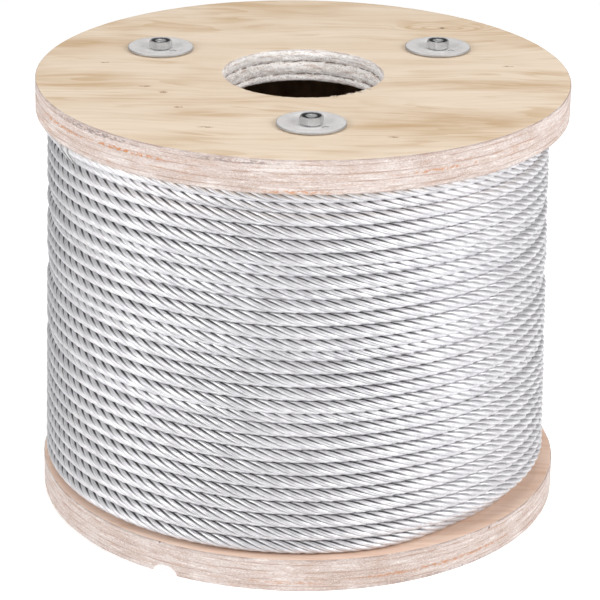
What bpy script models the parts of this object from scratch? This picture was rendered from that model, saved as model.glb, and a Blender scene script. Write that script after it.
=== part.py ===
"""Steel wire rope wound on a reel: two round plywood flanges on a drum, held by three tie bolts.

Metres, +Z up along the reel's axis. The origin is the middle of the lower flange's outer face,
where the reel stands. The reel stands on its end, so its flanges lie level.
"""

import math

import bmesh
import bpy

# Flanges
FLANGE_DIAMETER = 0.254
FLANGE_THICKNESS = 0.016
FLANGE_EDGE_CHAMFER = 0.0008
SPINDLE_BORE_DIAMETER = 0.076

# Drum and winding. The winding is a little looser, so thicker, low down
TRAVERSE = 0.178
DRUM_DIAMETER = 0.180
DRUM_WALL = 0.004
ROPE_DIAMETER = 0.0063
WINDING_DEPTH_TOP = 0.0296
WINDING_DEPTH_BOTTOM = 0.0339
WINDING_OFF_CENTRE = 0.0018

# Tie bolts, washers and nuts. The bolts stand just inside the drum. The tight nuts have pressed
# the middle of each washer into the wood, so it is dished
BOLT_COUNT = 3
BOLT_TO_DRUM = 0.0029
FIRST_BOLT_ANGLE = math.radians(-87.1)
BOLT_DIAMETER = 0.006
BOLT_END_CHAMFER = 0.0007
BOLT_END_PROUD = 0.0006
BOLT_HEAD_DIAMETER = 0.025
BOLT_HEAD_HEIGHT = 0.002
BOLT_HEAD_SET_BACK = 0.0005
WASHER_DIAMETER = 0.032
WASHER_THICKNESS = 0.0012
WASHER_EDGE_CHAMFER = 0.0003
WASHER_DISH = 0.001
WASHER_DISH_DIAMETER = 0.026
WASHER_SEAT_DIAMETER = 0.014
NUT_WALL_AT_FLATS = 0.002
NUT_HEIGHT = 0.003
NUT_CORNER_CHAMFER = 0.0006

# Room left between solids that touch or pass through each other
CLEARANCE = 0.0003
CUT_OVERRUN = 0.001

# Shape of one rope turn in the winding's outline: the groove, and two points on the turn's back
GROOVE_DEPTH = 0.27 * ROPE_DIAMETER
TURN_POINTS = (0.28, 0.72)

# The outer layer of rope. It climbs out of the layer below at the lower flange, rises clockwise and
# ends at the upper flange, where its free end lies on top. It is laid a little looser low down, and
# some turns, counted from the lowest one at the front, have sunk between their neighbours
FRONT = math.radians(270)
LAYER_START = math.radians(300)
LAYER_END = math.radians(230)
FREE_END = math.radians(75)
LAYER_STEP = ROPE_DIAMETER * math.sqrt(3) / 2
LOOSER_LOW = 0.055
SUNKEN_TURNS = {10: 1.0, 15: 1.0, 16: 0.45, 20: 1.0, 22: 1.0, 27: 1.0}
SUNKEN_DEPTH = 0.0013
SUNKEN_SQUEEZE = 0.0008
SINKS_FROM = 0.32
SINKS_TO = 0.68
SPARE_TURNS = 2

# Sides of the round pieces
FLANGE_SIDES = 72
DRUM_SIDES = 32
WINDING_SIDES = 32
HARDWARE_SIDES = 20
WASHER_SIDES = 32
SMOOTH_BELOW = math.radians(40)

# Heights that the pieces share
LOWER_INNER_FACE = FLANGE_THICKNESS
UPPER_INNER_FACE = LOWER_INNER_FACE + TRAVERSE
UPPER_OUTER_FACE = UPPER_INNER_FACE + FLANGE_THICKNESS
WASHER_UNDERSIDE = UPPER_OUTER_FACE + CLEARANCE
NUT_UNDERSIDE = WASHER_UNDERSIDE - WASHER_DISH + WASHER_THICKNESS + CLEARANCE
BOLT_TOP = NUT_UNDERSIDE + NUT_HEIGHT + BOLT_END_PROUD
BOLT_HEAD_TOP = BOLT_HEAD_SET_BACK + BOLT_HEAD_HEIGHT

# Radii that the pieces share
DRUM_RADIUS = DRUM_DIAMETER / 2
BOLT_HOLE_DIAMETER = BOLT_DIAMETER + 2 * CLEARANCE
BOLT_CIRCLE_RADIUS = DRUM_RADIUS - DRUM_WALL - WINDING_OFF_CENTRE - BOLT_TO_DRUM - BOLT_DIAMETER / 2


def new_collection(name):
    collection = bpy.data.collections.new(name)
    bpy.context.scene.collection.children.link(collection)
    return collection


def new_material(name, colour, roughness, metallic):
    material = bpy.data.materials.new(name)
    material.use_nodes = True
    shader = material.node_tree.nodes["Principled BSDF"]
    shader.inputs["Base Color"].default_value = (*colour, 1.0)
    shader.inputs["Roughness"].default_value = roughness
    shader.inputs["Metallic"].default_value = metallic
    material.diffuse_color = (*colour, 1.0)
    return material


def turned_piece(name, profile, closed, sides, collection):
    """Turns a profile of (radius, height) points about Z. It runs down its outer side."""
    mesh = bpy.data.meshes.new(name)
    points = [(radius, 0.0, height) for radius, height in profile]
    edges = [(i, i + 1) for i in range(len(points) - 1)]
    if closed:
        edges.append((len(points) - 1, 0))
    mesh.from_pydata(points, edges, [])
    piece = bpy.data.objects.new(name, mesh)
    collection.objects.link(piece)
    screw = piece.modifiers.new("turn", "SCREW")
    screw.axis = "Z"
    screw.steps = sides
    screw.render_steps = sides
    screw.use_merge_vertices = True
    screw.merge_threshold = 0.00001
    return piece


def as_cutter(piece):
    piece.hide_render = True
    piece.display_type = "WIRE"
    return piece


def cut(piece, cutter, operation="DIFFERENCE"):
    boolean = piece.modifiers.new(cutter.name, "BOOLEAN")
    boolean.operation = operation
    boolean.solver = "EXACT"
    boolean.object = cutter


def settle(piece, material):
    """Applies the modifiers, so that the sharp edges can be marked, and gives the material."""
    bpy.context.view_layer.update()
    evaluated = piece.evaluated_get(bpy.context.evaluated_depsgraph_get())
    mesh = bpy.data.meshes.new_from_object(evaluated)
    mesh.name = piece.name
    piece.modifiers.clear()
    piece.data = mesh
    mesh.materials.clear()
    mesh.materials.append(material)
    mesh.shade_smooth()
    mesh.set_sharp_from_angle(angle=SMOOTH_BELOW)


def bolt_places():
    """The tie bolts' places, evenly spread on their circle."""
    for number in range(BOLT_COUNT):
        angle = FIRST_BOLT_ANGLE + number * math.tau / BOLT_COUNT
        yield number + 1, BOLT_CIRCLE_RADIUS * math.cos(angle), BOLT_CIRCLE_RADIUS * math.sin(angle)


def hole_profile(low, high):
    """A clearance hole for a tie bolt, from one face through the other."""
    radius = BOLT_HOLE_DIAMETER / 2
    top = high + CUT_OVERRUN
    bottom = low - CUT_OVERRUN
    return [(0, top), (radius, top), (radius, bottom), (0, bottom)]


def dented_hole_profile(low, high):
    """The same hole in the upper flange, with the dent that the dished washer lies in."""
    radius = BOLT_HOLE_DIAMETER / 2
    dent_radius = WASHER_DISH_DIAMETER / 2
    seat_radius = WASHER_SEAT_DIAMETER / 2
    return [
        (0, high + CUT_OVERRUN),
        (dent_radius, high + CUT_OVERRUN),
        (dent_radius, high),
        (seat_radius, high - WASHER_DISH),
        (radius, high - WASHER_DISH),
        (radius, low - CUT_OVERRUN),
        (0, low - CUT_OVERRUN),
    ]


def sunk_hole_profile(high):
    """The same hole in the lower flange, wider below for the bolt's head."""
    radius = BOLT_HOLE_DIAMETER / 2
    head_radius = BOLT_HEAD_DIAMETER / 2 + CLEARANCE
    head_room = BOLT_HEAD_TOP + CLEARANCE
    return [
        (0, high + CUT_OVERRUN),
        (radius, high + CUT_OVERRUN),
        (radius, head_room),
        (head_radius, head_room),
        (head_radius, -CUT_OVERRUN),
        (0, -CUT_OVERRUN),
    ]


def ring_profile(outer_radius, inner_radius, low, high, chamfer):
    return [
        (outer_radius - chamfer, high),
        (outer_radius, high - chamfer),
        (outer_radius, low + chamfer),
        (outer_radius - chamfer, low),
        (inner_radius + chamfer, low),
        (inner_radius, low + chamfer),
        (inner_radius, high - chamfer),
        (inner_radius + chamfer, high),
    ]


def make_flange(name, low, hole, parts, cutters, material):
    """A plywood disc with its spindle bore and a hole for each tie bolt."""
    outer = FLANGE_DIAMETER / 2
    bore = SPINDLE_BORE_DIAMETER / 2
    profile = ring_profile(outer, bore, low, low + FLANGE_THICKNESS, FLANGE_EDGE_CHAMFER)
    flange = turned_piece(name, profile, True, FLANGE_SIDES, parts)
    for number, x, y in bolt_places():
        cutter = turned_piece(f"{name}_hole_{number}", hole, False, HARDWARE_SIDES, cutters)
        cutter.location = (x, y, 0)
        cut(flange, as_cutter(cutter))
    settle(flange, material)


def make_drum(parts, material):
    """The tube that the rope is wound on, clamped between the flanges."""
    inner = DRUM_RADIUS - DRUM_WALL
    low = LOWER_INNER_FACE + CLEARANCE
    high = UPPER_INNER_FACE - CLEARANCE
    profile = [(DRUM_RADIUS, high), (DRUM_RADIUS, low), (inner, low), (inner, high)]
    drum = turned_piece("drum", profile, True, DRUM_SIDES, parts)
    drum.location.x = -WINDING_OFF_CENTRE
    settle(drum, material)


def turns_along(start, end, depth_side):
    """Outline of the rope turns that lie side by side from start to end.

    Each turn gives a groove point and two points on its back. depth_side is the unit direction
    from the backs of the turns into the winding.
    """
    length = math.dist(start, end)
    count = max(1, round(length / ROPE_DIAMETER))
    points = []
    for turn in range(count):
        for share, depth in ((0.0, GROOVE_DEPTH), *((place, 0.0) for place in TURN_POINTS)):
            if turn == 0 and share == 0.0:
                continue
            along = (turn + share) / count
            radius = start[0] + (end[0] - start[0]) * along + depth_side[0] * depth
            height = start[1] + (end[1] - start[1]) * along + depth_side[1] * depth
            points.append((radius, height))
    return points


def outer_turns(lowest, highest):
    """Heights of the outer layer's turns where they pass the front, with one above, and their depths."""
    count = math.ceil((highest - lowest) / ROPE_DIAMETER)
    depths = [SUNKEN_DEPTH * SUNKEN_TURNS.get(turn, 0.0) for turn in range(count + 1)]
    steps = []
    for turn in range(count):
        looseness = 1 + LOOSER_LOW * (1 - (turn + 0.5) / count)
        sunk = SUNKEN_TURNS.get(turn, 0.0) + SUNKEN_TURNS.get(turn + 1, 0.0)
        steps.append(ROPE_DIAMETER * looseness - SUNKEN_SQUEEZE * sunk)
    before = (LAYER_START - FRONT) / math.tau
    after = (FRONT - LAYER_END) / math.tau
    scale = (highest - lowest) / (sum(steps) + before * steps[0] + after * steps[-1])
    heights = [lowest + before * steps[0] * scale]
    for step in steps:
        heights.append(heights[-1] + step * scale)
    return heights, depths


def turn_at(place, heights, depths):
    """Height and depth of the rope's middle, at a number of turns after it first passes the front."""
    last = len(heights) - 1
    turn = min(max(math.floor(place), 0), last - 1)
    share = place - turn
    height = heights[turn] + share * (heights[turn + 1] - heights[turn])
    before = (LAYER_START - FRONT) / math.tau
    after = (FRONT - LAYER_END + FREE_END) / math.tau
    if place < -before or place > last + after:
        return height, LAYER_STEP
    change = min(max((share - SINKS_FROM) / (SINKS_TO - SINKS_FROM), 0.0), 1.0)
    return height, depths[turn] + (depths[turn + 1] - depths[turn]) * change


def make_wound_side(low, high, radius_at, cutters):
    """A solid screw whose thread is the outer layer of rope, with turns to spare at both ends."""
    heights, depths = outer_turns(low + ROPE_DIAMETER / 2, high - ROPE_DIAMETER / 2)
    first = -SPARE_TURNS
    last = len(heights) + SPARE_TURNS
    half_back = TURN_POINTS[1] - 0.5
    mesh = bmesh.new()
    columns = []
    for side in range(WINDING_SIDES):
        angle = FRONT - side / WINDING_SIDES * math.tau
        column = []
        for turn in range(first, last):
            place = turn + side / WINDING_SIDES
            height, depth = turn_at(place, heights, depths)
            below, depth_below = turn_at(place - 1, heights, depths)
            above = turn_at(place + 1, heights, depths)[0]
            reach = half_back * (above - below) / 2
            groove = ((height + below) / 2, GROOVE_DEPTH + (depth + depth_below) / 2)
            points = [groove, (height - reach, depth), (height + reach, depth)]
            for z, sunk in points:
                radius = radius_at(z) - sunk
                column.append(mesh.verts.new((radius * math.cos(angle), radius * math.sin(angle), z)))
        columns.append(column)

    # One turn round, a column meets the first one a turn higher up
    per_turn = len(points)
    columns.append(columns[0][per_turn:])
    for column, following in zip(columns, columns[1:]):
        for row in range(len(following) - 1):
            mesh.faces.new((column[row], following[row], following[row + 1], column[row + 1]))
    bottom_ring = [column[0] for column in columns] + columns[0][per_turn - 1 : 0 : -1]
    top_ring = [column[-1] for column in columns[:-1]] + columns[-2][-2 : -per_turn - 1 : -1]
    far = SPARE_TURNS * 2 * ROPE_DIAMETER
    for ring, z in ((bottom_ring, low - far), (top_ring, high + far)):
        middle = mesh.verts.new((0, 0, z))
        for point, following in zip(ring, ring[1:] + ring[:1]):
            mesh.faces.new((point, following, middle))
    bmesh.ops.recalc_face_normals(mesh, faces=mesh.faces)
    side_mesh = bpy.data.meshes.new("wound_side")
    mesh.to_mesh(side_mesh)
    mesh.free()
    wound_side = bpy.data.objects.new("wound_side", side_mesh)
    cutters.objects.link(wound_side)
    return wound_side


def make_wire_rope_coil(parts, cutters, material):
    """The whole winding as one solid: a disc with turns on both ends, whose side is cut to a helix."""
    inner = DRUM_RADIUS + CLEARANCE
    low = LOWER_INNER_FACE + CLEARANCE
    high = UPPER_INNER_FACE - CLEARANCE
    outer_top = inner + WINDING_DEPTH_TOP
    outer_bottom = inner + WINDING_DEPTH_BOTTOM
    spare = ROPE_DIAMETER / 2
    profile = [(inner, high)]
    profile += turns_along((inner, high), (outer_top + spare, high), (0, -1))
    profile += [(outer_top + spare, high), (outer_bottom + spare, low)]
    profile += turns_along((outer_bottom + spare, low), (inner, low), (0, 1))
    profile += [(inner, low)]
    coil = turned_piece("wire_rope_coil", profile, True, WINDING_SIDES, parts)
    coil.location.x = -WINDING_OFF_CENTRE

    def radius_at(height):
        return outer_bottom + (outer_top - outer_bottom) * (height - low) / (high - low)

    wound_side = make_wound_side(low, high, radius_at, cutters)
    wound_side.location.x = -WINDING_OFF_CENTRE
    cut(coil, as_cutter(wound_side), "INTERSECT")
    settle(coil, material)


def make_tie_bolt(number, x, y, parts, material):
    """A bolt with a wide flat head sunk in the lower flange, and its end through the nut."""
    shank = BOLT_DIAMETER / 2
    head = BOLT_HEAD_DIAMETER / 2
    profile = [
        (0, BOLT_TOP),
        (shank - BOLT_END_CHAMFER, BOLT_TOP),
        (shank, BOLT_TOP - BOLT_END_CHAMFER),
        (shank, BOLT_HEAD_TOP),
        (head, BOLT_HEAD_TOP),
        (head, BOLT_HEAD_SET_BACK),
        (0, BOLT_HEAD_SET_BACK),
    ]
    bolt = turned_piece(f"tie_bolt_{number}", profile, False, HARDWARE_SIDES, parts)
    bolt.location = (x, y, 0)
    settle(bolt, material)


def make_washer(number, x, y, parts, material):
    """A wide washer, flat round its rim and pressed down in the middle."""
    outer = WASHER_DIAMETER / 2
    inner = BOLT_HOLE_DIAMETER / 2
    dish = WASHER_DISH_DIAMETER / 2
    seat = WASHER_SEAT_DIAMETER / 2
    low = WASHER_UNDERSIDE
    high = WASHER_UNDERSIDE + WASHER_THICKNESS
    profile = [
        (outer - WASHER_EDGE_CHAMFER, high),
        (outer, high - WASHER_EDGE_CHAMFER),
        (outer, low + WASHER_EDGE_CHAMFER),
        (outer - WASHER_EDGE_CHAMFER, low),
        (dish, low),
        (seat, low - WASHER_DISH),
        (inner, low - WASHER_DISH),
        (inner, high - WASHER_DISH),
        (seat, high - WASHER_DISH),
        (dish, high),
    ]
    washer = turned_piece(f"washer_{number}", profile, True, WASHER_SIDES, parts)
    washer.location = (x, y, 0)
    settle(washer, material)


def make_nut(number, x, y, parts, cutters, material):
    """A hexagon whose corners are turned off at both ends, with a bore for the bolt."""
    corner_radius = (BOLT_DIAMETER + 2 * NUT_WALL_AT_FLATS) / math.sqrt(3)
    low = NUT_UNDERSIDE
    high = NUT_UNDERSIDE + NUT_HEIGHT
    mesh = bpy.data.meshes.new(f"nut_{number}")
    hexagon = bmesh.new()
    bmesh.ops.create_cone(
        hexagon, cap_ends=True, segments=6, radius1=corner_radius, radius2=corner_radius, depth=NUT_HEIGHT
    )
    bmesh.ops.translate(hexagon, verts=hexagon.verts, vec=(0, 0, (low + high) / 2))
    hexagon.to_mesh(mesh)
    hexagon.free()
    nut = bpy.data.objects.new(f"nut_{number}", mesh)
    parts.objects.link(nut)
    nut.location = (x, y, 0)

    flank = corner_radius + NUT_CORNER_CHAMFER
    tip = flank - 2 * (NUT_CORNER_CHAMFER + CUT_OVERRUN)
    outline = [
        (0, high + CUT_OVERRUN),
        (tip, high + CUT_OVERRUN),
        (flank, high - NUT_CORNER_CHAMFER),
        (flank, low + NUT_CORNER_CHAMFER),
        (tip, low - CUT_OVERRUN),
        (0, low - CUT_OVERRUN),
    ]
    envelope = as_cutter(turned_piece(f"nut_corners_{number}", outline, False, WASHER_SIDES, cutters))
    envelope.location = nut.location
    cut(nut, envelope, "INTERSECT")

    bore = turned_piece(f"nut_bore_{number}", hole_profile(low, high), False, HARDWARE_SIDES, cutters)
    bore.location = nut.location
    cut(nut, as_cutter(bore))
    settle(nut, material)


def main():
    for old in list(bpy.data.objects):
        bpy.data.objects.remove(old)
    parts = new_collection("wire_rope_reel")
    cutters = new_collection("cutters")

    plywood = new_material("top_flange_plywood", (0.72, 0.60, 0.44), 0.7, 0.0)
    hole = dented_hole_profile(UPPER_INNER_FACE, UPPER_OUTER_FACE)
    make_flange("top_flange", UPPER_INNER_FACE, hole, parts, cutters, plywood)
    plywood = new_material("bottom_flange_plywood", (0.70, 0.57, 0.42), 0.7, 0.0)
    make_flange("bottom_flange", 0, sunk_hole_profile(LOWER_INNER_FACE), parts, cutters, plywood)
    make_drum(parts, new_material("drum_fibreboard", (0.42, 0.30, 0.19), 0.85, 0.0))
    make_wire_rope_coil(parts, cutters, new_material("galvanised_rope", (0.62, 0.62, 0.63), 0.35, 1.0))
    for number, x, y in bolt_places():
        zinc = new_material(f"tie_bolt_{number}_zinc", (0.60, 0.61, 0.62), 0.35, 1.0)
        make_tie_bolt(number, x, y, parts, zinc)
        zinc = new_material(f"washer_{number}_zinc", (0.70, 0.71, 0.72), 0.30, 1.0)
        make_washer(number, x, y, parts, zinc)
        zinc = new_material(f"nut_{number}_zinc", (0.66, 0.67, 0.68), 0.30, 1.0)
        make_nut(number, x, y, parts, cutters, zinc)


main()
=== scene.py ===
# %% [markdown]
# # A reel of steel wire rope
#
# The real object is a wooden reel that stands on its end: two round plywood flanges on a drum,
# held together by three tie bolts, with about ninety metres of galvanised wire rope wound on it.
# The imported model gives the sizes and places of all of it. This script adds the looks around that
# model: the twisted strands of the rope, the plies and grain of the wood, and the pressed metal.
# Everything is in metres, with +Z up along the reel's axis, and the front of the reel faces -Y.

import math

import bpy
import numpy as np
from mathutils import Matrix, Vector, noise


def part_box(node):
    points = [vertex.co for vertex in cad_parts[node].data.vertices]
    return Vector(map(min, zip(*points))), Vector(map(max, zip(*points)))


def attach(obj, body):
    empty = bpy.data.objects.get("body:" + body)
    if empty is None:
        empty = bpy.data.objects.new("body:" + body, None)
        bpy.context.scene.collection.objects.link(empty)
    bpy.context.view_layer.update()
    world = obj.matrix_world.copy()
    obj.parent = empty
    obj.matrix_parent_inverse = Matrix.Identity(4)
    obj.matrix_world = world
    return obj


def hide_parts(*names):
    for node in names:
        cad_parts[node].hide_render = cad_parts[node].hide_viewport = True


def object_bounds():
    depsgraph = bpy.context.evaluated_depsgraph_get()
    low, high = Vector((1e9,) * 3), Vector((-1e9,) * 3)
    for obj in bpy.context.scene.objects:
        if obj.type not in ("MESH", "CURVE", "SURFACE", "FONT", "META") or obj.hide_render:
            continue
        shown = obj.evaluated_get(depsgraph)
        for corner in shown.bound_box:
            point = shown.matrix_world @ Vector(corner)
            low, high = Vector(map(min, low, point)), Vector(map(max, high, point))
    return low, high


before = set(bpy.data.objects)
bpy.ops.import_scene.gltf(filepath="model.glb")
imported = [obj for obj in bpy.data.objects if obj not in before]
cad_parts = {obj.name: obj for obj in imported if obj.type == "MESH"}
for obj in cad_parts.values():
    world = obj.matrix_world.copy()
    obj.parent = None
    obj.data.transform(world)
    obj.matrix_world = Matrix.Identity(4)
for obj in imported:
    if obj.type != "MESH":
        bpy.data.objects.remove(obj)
cad_box = [list(corner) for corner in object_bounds()]
print("nodes in the packed model:", sorted(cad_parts))

# %% [markdown]
# ## Camera
#
# The photograph looks down on the reel from the front by about 22 degrees, with a long lens, and is
# turned by less than a degree. A camera could be aimed with a constraint, but two plain rotations
# say the same: one tips the camera down from the horizon and the other turns the picture.

# %% Camera
VIEW_DOWN = math.radians(22.16)
PICTURE_TURN = math.radians(0.83)
CAMERA_DISTANCE = 1.300
CAMERA_LENS = 159.1
AIM_HEIGHT = 0.105
AIM_DROP = 0.0108

reel_middle = (Vector(cad_box[0]) + Vector(cad_box[1])) / 2
reel_middle.z = AIM_HEIGHT
towards_camera = Vector((0, -math.cos(VIEW_DOWN), math.sin(VIEW_DOWN)))
picture_up = Vector((0, math.sin(VIEW_DOWN), math.cos(VIEW_DOWN)))

camera = bpy.data.objects.new("camera", bpy.data.cameras.new("camera"))
bpy.context.scene.collection.objects.link(camera)
camera.data.lens = CAMERA_LENS
tip_down = Matrix.Rotation(math.pi / 2 - VIEW_DOWN, 4, "X")
turn = Matrix.Rotation(PICTURE_TURN, 4, "Z")
camera.matrix_world = tip_down @ turn
camera.location = reel_middle + towards_camera * CAMERA_DISTANCE - picture_up * AIM_DROP
bpy.context.scene.camera = camera
print("camera at", [round(value, 3) for value in camera.location])

# %% [markdown]
# ## Helpers for materials
#
# Every finish here, and the studio's sky, is made of nodes. Writing each link by hand makes long
# code, so this cell holds short helpers: one places a node, one links or sets its sockets, and the
# others name the sums and mixes that come up again and again. A group is a small node tree of its
# own, with named inputs and outputs, which several materials can share.

# %% Node helpers
UV_NAME = "along_and_across"
FLOAT, COLOUR, VECTOR = "NodeSocketFloat", "NodeSocketColor", "NodeSocketVector"


def set_sockets(tree, node, sockets):
    """Fills a node's sockets. A value that is itself a socket is linked, and any other is set."""
    for name, value in sockets.items():
        if isinstance(value, bpy.types.NodeSocket):
            tree.links.new(value, node.inputs[name])
        else:
            node.inputs[name].default_value = value


def place(tree, kind, sockets=None, **settings):
    """Adds a node with its settings and sockets."""
    node = tree.nodes.new(kind)
    for name, value in settings.items():
        setattr(node, name, value)
    set_sockets(tree, node, sockets or {})
    return node


def maths(tree, operation, first, second=0.0):
    return place(tree, "ShaderNodeMath", {0: first, 1: second}, operation=operation).outputs[0]


def plus(tree, first, second):
    return maths(tree, "ADD", first, second)


def minus(tree, first, second):
    return maths(tree, "SUBTRACT", first, second)


def times(tree, first, second):
    return maths(tree, "MULTIPLY", first, second)


def distance_from(tree, value, middle):
    return maths(tree, "ABSOLUTE", minus(tree, value, middle))


def vector_maths(tree, operation, *vectors):
    return place(tree, "ShaderNodeVectorMath", dict(enumerate(vectors)), operation=operation).outputs


def remap(tree, value, low, high, new_low=0.0, new_high=1.0):
    """Stretches low..high to new_low..new_high and clamps there, with a soft start and end."""
    sockets = {"Value": value, "From Min": low, "From Max": high, "To Min": new_low, "To Max": new_high}
    return place(tree, "ShaderNodeMapRange", sockets, interpolation_type="SMOOTHSTEP").outputs[0]


def mix_colours(tree, mask, first, second):
    return place(tree, "ShaderNodeMix", {0: mask, 6: first, 7: second}, data_type="RGBA").outputs[2]


def noise_at(tree, vector, scale, detail=2.0, roughness=0.5):
    sockets = {"Vector": vector, "Scale": scale, "Detail": detail, "Roughness": roughness}
    return place(tree, "ShaderNodeTexNoise", sockets).outputs[0]


def stretched(tree, vector, scale):
    """The same place in a space that is scaled by three numbers, so that a pattern is drawn out."""
    return place(tree, "ShaderNodeMapping", {"Vector": vector, "Scale": scale}).outputs[0]


def separate(tree, vector):
    return place(tree, "ShaderNodeSeparateXYZ", {"Vector": vector}).outputs


def place_on_object(tree):
    return place(tree, "ShaderNodeTexCoord").outputs["Object"]


def place_on_sheet(tree):
    """The two numbers of the UV map that every mesh here carries, X along it and Y across it."""
    return separate(tree, place(tree, "ShaderNodeUVMap", uv_map=UV_NAME).outputs["UV"])


def bumped(tree, height, strength, distance):
    sockets = {"Height": height, "Strength": strength, "Distance": distance}
    return place(tree, "ShaderNodeBump", sockets).outputs[0]


def new_material(name):
    """An empty node material and its Principled shader."""
    material = bpy.data.materials.new(name)
    material.use_nodes = True
    return material, material.node_tree, material.node_tree.nodes["Principled BSDF"]


def new_group(name, inputs, outputs):
    """A shader node group. The sockets are (name, type) or (name, type, value) tuples."""
    group = bpy.data.node_groups.new(name, "ShaderNodeTree")
    for label, kind, *value in inputs:
        socket = group.interface.new_socket(label, in_out="INPUT", socket_type=kind)
        if value:
            socket.default_value = value[0]
    for label, kind in outputs:
        group.interface.new_socket(label, in_out="OUTPUT", socket_type=kind)
    return group, group.nodes.new("NodeGroupInput").outputs, group.nodes.new("NodeGroupOutput")


def use_group(tree, group, sockets):
    return place(tree, "ShaderNodeGroup", sockets, node_tree=group).outputs


def count_nodes(name, tree):
    print(f"{name}: {len(tree.nodes)} nodes")


# %% [markdown]
# ## Floor and light
#
# The object stands in a bright white studio between two big soft lamps. The one on the right is the
# stronger, and makes the right half of the winding almost white. They stand well to the sides, so
# the winding is brightest on either side of its middle. A pale sky and a weak lamp overhead keep
# the shadows soft. The sky is darker behind the reel than in front of it, so that the bright zinc
# dims towards the sides. The Standard view transform shows plain whites as white.

# %% Floor and light
FLOOR_SIZE = 12.0
FLOOR_GLOW = 0.32
SKY_IN_FRONT = 0.28
SKY_BEHIND = 0.20
WHITE = (1.0, 1.0, 1.0, 1.0)
# Each lamp's name, place, width and power
LAMPS = [
    ("main_lamp", (1.42, -0.88, 0.95), 0.9, 24.0),
    ("left_lamp", (-1.35, -1.10, 0.85), 0.8, 20.5),
    ("top_lamp", (0.0, 0.35, 1.90), 1.4, 13.0),
]

for name, position, width, power in LAMPS:
    lamp = bpy.data.objects.new(name, bpy.data.lights.new(name, "AREA"))
    bpy.context.scene.collection.objects.link(lamp)
    lamp.data.size = width
    lamp.data.energy = power
    lamp.location = position
    lamp.rotation_mode = "QUATERNION"
    lamp.rotation_quaternion = (reel_middle - Vector(position)).to_track_quat("-Z", "Y")

world = bpy.data.worlds.new("studio")
world.use_nodes = True
sky = world.node_tree
backwards = separate(sky, place(sky, "ShaderNodeTexCoord").outputs["Generated"])["Y"]
sky_range = {"Value": backwards, "From Min": -1.0, "To Min": SKY_IN_FRONT, "To Max": SKY_BEHIND}
sky_strength = place(sky, "ShaderNodeMapRange", sky_range).outputs["Result"]
set_sockets(sky, sky.nodes["Background"], {"Color": WHITE, "Strength": sky_strength})
bpy.context.scene.world = world
bpy.context.scene.view_settings.view_transform = "Standard"

half_floor = FLOOR_SIZE / 2
floor_corners = [(x * half_floor, y * half_floor, 0) for x, y in ((-1, -1), (1, -1), (1, 1), (-1, 1))]
floor_mesh = bpy.data.meshes.new("floor")
floor_mesh.from_pydata(floor_corners, [], [(0, 1, 2, 3)])
floor = bpy.data.objects.new("floor", floor_mesh)
bpy.context.scene.collection.objects.link(floor)
floor_material, tree, shader = new_material("pale_floor")
set_sockets(tree, shader, {"Base Color": (0.95, 0.95, 0.95, 1.0), "Roughness": 0.9})
set_sockets(tree, shader, {"Emission Color": WHITE, "Emission Strength": FLOOR_GLOW})
floor_mesh.materials.append(floor_material)
print("floor and", len(bpy.data.lights), "lamps are in place")

# %% [markdown]
# ## Helpers for meshes
#
# The reel is all round work: turned discs, rings, threads, and a rope whose section is swept along
# a path. Each of these is a sheet of points in rows and columns, bent round until its edges meet.
# So one helper turns such a sheet into a mesh. It also writes a UV map, which the materials use
# to follow the rope's strands and the plies of the wood.

# %% Mesh from rows and columns of points
TURN = 2 * math.pi


def mesh_from_rows(name, rows, close_rows=False, cap_ends=False, uv_rows=None):
    """A mesh whose faces join neighbouring points. Rows run round the first axis of the array."""
    count, width = rows.shape[:2]
    row = np.arange(count if close_rows else count - 1)[:, None]
    column = np.arange(width)[None, :]
    next_row = (row + 1) % count
    next_column = (column + 1) % width
    corners = [(row, column), (row, next_column), (next_row, next_column), (next_row, column)]
    quads = np.stack([r * width + c for r, c in corners], axis=-1).reshape(-1, 4)

    along = np.arange(count + 1) if uv_rows is None else np.append(uv_rows, uv_rows[-1])
    across = np.arange(width + 1) / width
    uv_corners = [(row, column), (row, column + 1), (row + 1, column + 1), (row + 1, column)]
    uv = [np.stack(np.broadcast_arrays(along[r], across[c]), axis=-1) for r, c in uv_corners]
    uv = np.stack(uv, axis=2).reshape(-1, 2)

    loops = quads.ravel()
    starts = np.arange(len(quads)) * 4
    if cap_ends:
        first = np.arange(width)[::-1]
        last = (count - 1) * width + np.arange(width)
        starts = np.concatenate([starts, [len(loops), len(loops) + width]])
        loops = np.concatenate([loops, first, last])
        uv = np.concatenate([uv, np.zeros((2 * width, 2))])

    mesh = bpy.data.meshes.new(name)
    mesh.vertices.add(count * width)
    mesh.vertices.foreach_set("co", rows.astype(np.float32).ravel())
    mesh.loops.add(len(loops))
    mesh.loops.foreach_set("vertex_index", loops.astype(np.int32))
    mesh.polygons.add(len(starts))
    mesh.polygons.foreach_set("loop_start", starts.astype(np.int32))
    mesh.update(calc_edges=True)
    layer = mesh.uv_layers.new(name=UV_NAME)
    layer.data.foreach_set("uv", uv.astype(np.float32).ravel())
    mesh.shade_smooth()
    return mesh


def turned(profile, sides, centre=(0.0, 0.0)):
    """Rows of points for a turned shape. The profile of (radius, height) runs up its outer side."""
    angle = np.arange(sides) / sides * TURN
    radius, height = np.array(profile, float).T
    rows = np.empty((len(profile), sides, 3))
    rows[..., 0] = radius[:, None] * np.cos(angle) + centre[0]
    rows[..., 1] = radius[:, None] * np.sin(angle) + centre[1]
    rows[..., 2] = height[:, None]
    return rows


def add_piece(name, mesh, material, node):
    """Puts a mesh in the scene on the reel's one body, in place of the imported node."""
    piece = bpy.data.objects.new(name, mesh)
    bpy.context.scene.collection.objects.link(piece)
    mesh.materials.append(material)
    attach(piece, "root")
    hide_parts(node)
    triangles = sum(len(face.vertices) - 2 for face in mesh.polygons)
    print(f"{name}: {triangles} triangles")
    return piece


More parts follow.
